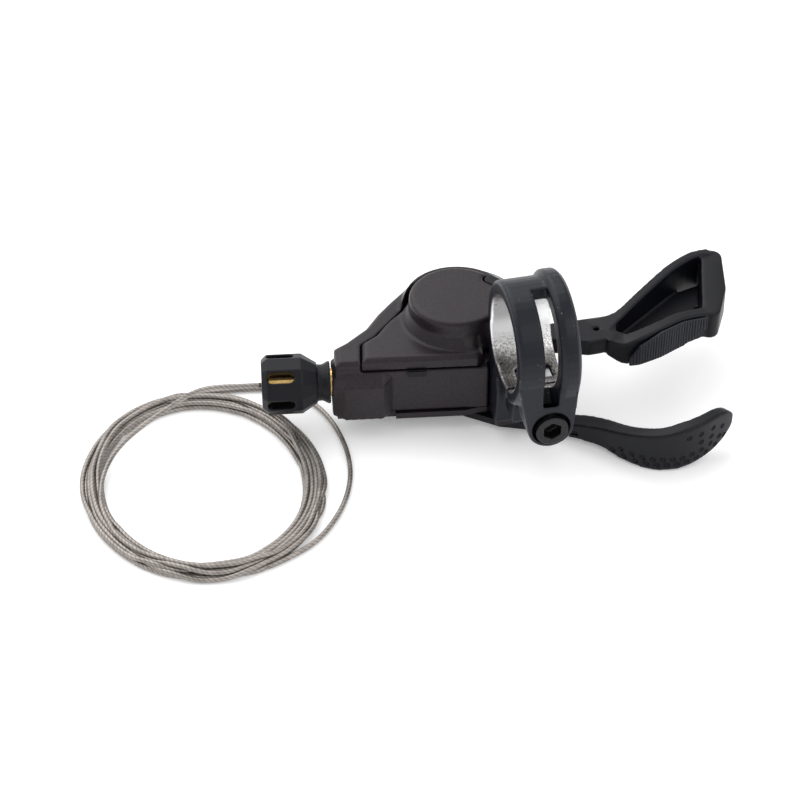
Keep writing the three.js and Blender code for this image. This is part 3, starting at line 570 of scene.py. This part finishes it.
def wire_finish(name, coordinates, ratio):
    """Drawn steel strands with painted shade in the grooves between them, at a slant to the
    cable.
    """
    made, tree, shader = material(name)
    place = tree.nodes.new("ShaderNodeTexCoord")
    mapping = linked(tree, "ShaderNodeMapping", Vector=place.outputs[coordinates])
    mapping.inputs["Scale"].default_value = ratio
    wave = linked(tree, "ShaderNodeTexWave", Vector=mapping.outputs["Vector"], Scale=1.0)
    wave.wave_type = "BANDS"
    wave.bands_direction = "DIAGONAL"
    fac = wave.outputs["Fac"]
    tone = noise(tree, 500, 2, 0.5)
    color = tree.nodes.new("ShaderNodeMix")
    color.data_type = "RGBA"
    color.blend_type = "MULTIPLY"
    color.inputs["Factor"].default_value = 1
    # Painted shade: the wave bands darken the grooves between strands, in both wire finishes.
    groove_shade = ramp(tree, fac, [(0.05, (0.62, 0.6, 0.58)), (0.6, (0.95, 0.94, 0.93))])
    tint = ramp(tree, tone, [(0.3, (0.29, 0.268, 0.25)), (0.7, (0.42, 0.39, 0.37))])
    tree.links.new(groove_shade, color.inputs["A"])
    tree.links.new(tint, color.inputs["B"])
    tree.links.new(color.outputs["Result"], shader.inputs["Base Color"])
    shader.inputs["Metallic"].default_value = 0.75
    tree.links.new(spread(tree, tone, 0.3, 0.46), shader.inputs["Roughness"])
    bump(tree, shader, fac, 0.25, 0.00003)
    return made


wire = wire_finish("wire", "UV", (820.0, 1.9, 0))
plain_wire = wire_finish("inner_wire", "Object", (150, 150, 150))


def dress(piece, made):
    piece.data.materials.clear()
    piece.data.materials.append(made)


dress(cable, wire)
dress(paddle, black_plastic)
dress(grip, grip_plastic)
FINISH = {
    "housing_shell": cover_paint, "top_cover": cover_paint, "access_plug": black_plastic,
    "base_plate": cover_paint, "cover_tab": black_plastic, "cover_screw": dark_steel,
    "pivot_axle": steel, "axle_nut": steel, "cable_drum": black_plastic, "ratchet_wheel": steel,
    "cable_nipple": steel, "release_spring": steel, "main_spring": steel,
    "main_lever_plate": black_plastic, "main_lever_paddle": black_plastic,
    "paddle_rivet": dark_steel,
    "drive_pawl_post": steel, "drive_pawl": steel, "hold_pawl_post": steel, "hold_pawl": steel,
    "release_plate": steel, "release_lever": black_plastic, "release_grip": grip_plastic,
    "adjuster_knob": black_plastic, "adjuster_barrel": brass, "cable_inner": plain_wire,
    "clamp_band": black_alloy, "clamp_bolt": dark_steel, "clamp_nut": steel,
    "bracket_screw": dark_steel,
}
for name, made in FINISH.items():
    for slot in nodes[name].material_slots:
        slot.link = "OBJECT"
        slot.material = made


rounded(nodes["housing_shell"], 0.32, 5)
rounded(nodes["top_cover"], 0.26, 20)
rounded(nodes["clamp_band"], 0.3, 5)
rounded(nodes["release_lever"], 0.26, 14)
rounded(nodes["adjuster_knob"], 0.16, 6)
rounded(nodes["clamp_bolt"], 0.14, 4)
rounded(nodes["access_plug"], 0.12, 4)


# ---------------------------------------------------------------- floor and light
def add_floor():
    mesh = bpy.data.meshes.new("floor")
    half = 3.0
    corners = [(-half, -half, 0), (half, -half, 0), (half, half, 0), (-half, half, 0)]
    mesh.from_pydata(corners, [], [(0, 1, 2, 3)])
    floor = bpy.data.objects.new("floor", mesh)
    floor.location.z = -0.0001
    bpy.context.scene.collection.objects.link(floor)
    made, tree, shader = material("floor")
    white = ramp(tree, noise(tree, 30, 2), [(0.3, (0.9, 0.9, 0.905)), (0.7, (0.92, 0.92, 0.925))])
    tree.links.new(white, shader.inputs["Base Color"])
    shader.inputs["Roughness"].default_value = 0.9
    shader.inputs["Emission Color"].default_value = (1, 1, 1, 1)
    shader.inputs["Emission Strength"].default_value = 0.2
    dress(floor, made)


def area_light(name, location, target, size, energy):
    data = bpy.data.lights.new(name, "AREA")
    data.shape = "RECTANGLE"
    data.size, data.size_y = size
    data.energy = energy
    light = bpy.data.objects.new(name, data)
    light.location = location
    aim = Vector(target) - Vector(location)
    light.rotation_euler = aim.to_track_quat("-Z", "Y").to_euler()
    bpy.context.scene.collection.objects.link(light)


def add_light():
    world = bpy.data.worlds.new("studio")
    bpy.context.scene.world = world
    world.use_nodes = True
    background = world.node_tree.nodes["Background"]
    background.inputs["Color"].default_value = (1, 1, 1, 1)
    background.inputs["Strength"].default_value = 0.8
    area_light("key", (-0.35, 0.5, 0.8), (0, 0, 0.01), (1.5, 1.2), 9)
    area_light("fill", (0.5, -0.5, 0.7), (0, 0, 0.01), (0.7, 0.5), 2)
    bpy.context.scene.view_settings.view_transform = "Standard"


add_floor()
add_light()
